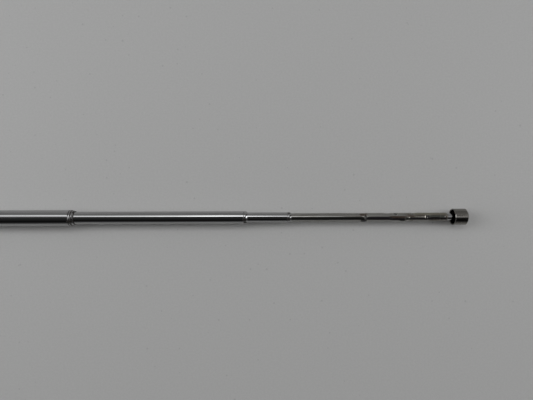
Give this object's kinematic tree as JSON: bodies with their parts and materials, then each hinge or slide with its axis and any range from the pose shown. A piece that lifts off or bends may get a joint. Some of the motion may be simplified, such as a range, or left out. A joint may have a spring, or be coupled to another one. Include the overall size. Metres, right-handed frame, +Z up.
{
  "type": "car antenna",
  "caption": "Telescopic mast of nested chromed tubes, partly drawn out, with a battered thin end section and a hollow cup-shaped tip cap.",
  "frame": {"origin": "centre of the fixing thread at the base end, on the mast's axis", "axes": "+X along the mast's axis towards the tip, +Z up from the surface that the mast lies on, +Y to the left of +X"},
  "size_m": [0.4543, 0.008, 0.008],
  "materials": {
    "chrome": "bright chrome plating",
    "worn_chrome": "chrome plating, bitten, stained brown and scratched",
    "dark_nickel": "satin turned metal, dark nickel plated",
    "brass": "turned brass, bare",
    "spring_bronze": "spring bronze sheet, bare"
  },
  "bodies": {
    "mast_base": {"outer_tube": "chrome", "mouth_bush": "brass", "base_plug": "brass"},
    "second_shells": {"second_shell_a": "spring_bronze", "second_shell_b": "spring_bronze"},
    "second_section": {"second_tube": "chrome", "second_collar": "brass"},
    "third_shells": {"third_shell_a": "spring_bronze", "third_shell_b": "spring_bronze"},
    "third_section": {"third_tube": "chrome", "third_collar": "brass"},
    "tip_shells": {"tip_shell_a": "spring_bronze", "tip_shell_b": "spring_bronze"},
    "tip_section": {"tip_tube": "worn_chrome", "tip_collar": "brass", "tip_stem": "chrome", "tip_cap": "dark_nickel"}
  },
  "joints": [
    {"name": "second_slide", "type": "slide", "parent": "mast_base", "child": "second_shells", "axis": [1, 0, 0], "range_m": [-0.0826, 0.1358]},
    {"name": "second_turn", "type": "hinge", "parent": "second_shells", "child": "second_section", "pos_m": [0, 0, 0], "axis": [1, 0, 0], "continuous": true},
    {"name": "third_slide", "type": "slide", "parent": "second_section", "child": "third_shells", "axis": [1, 0, 0], "range_m": [-0.0195, 0.1918]},
    {"name": "third_turn", "type": "hinge", "parent": "third_shells", "child": "third_section", "pos_m": [0, 0, 0], "axis": [1, 0, 0], "continuous": true},
    {"name": "tip_slide", "type": "slide", "parent": "third_section", "child": "tip_shells", "axis": [1, 0, 0], "range_m": [-0.0335, 0.1132]},
    {"name": "tip_turn", "type": "hinge", "parent": "tip_shells", "child": "tip_section", "pos_m": [0, 0, 0], "axis": [1, 0, 0], "continuous": true}
  ]
}
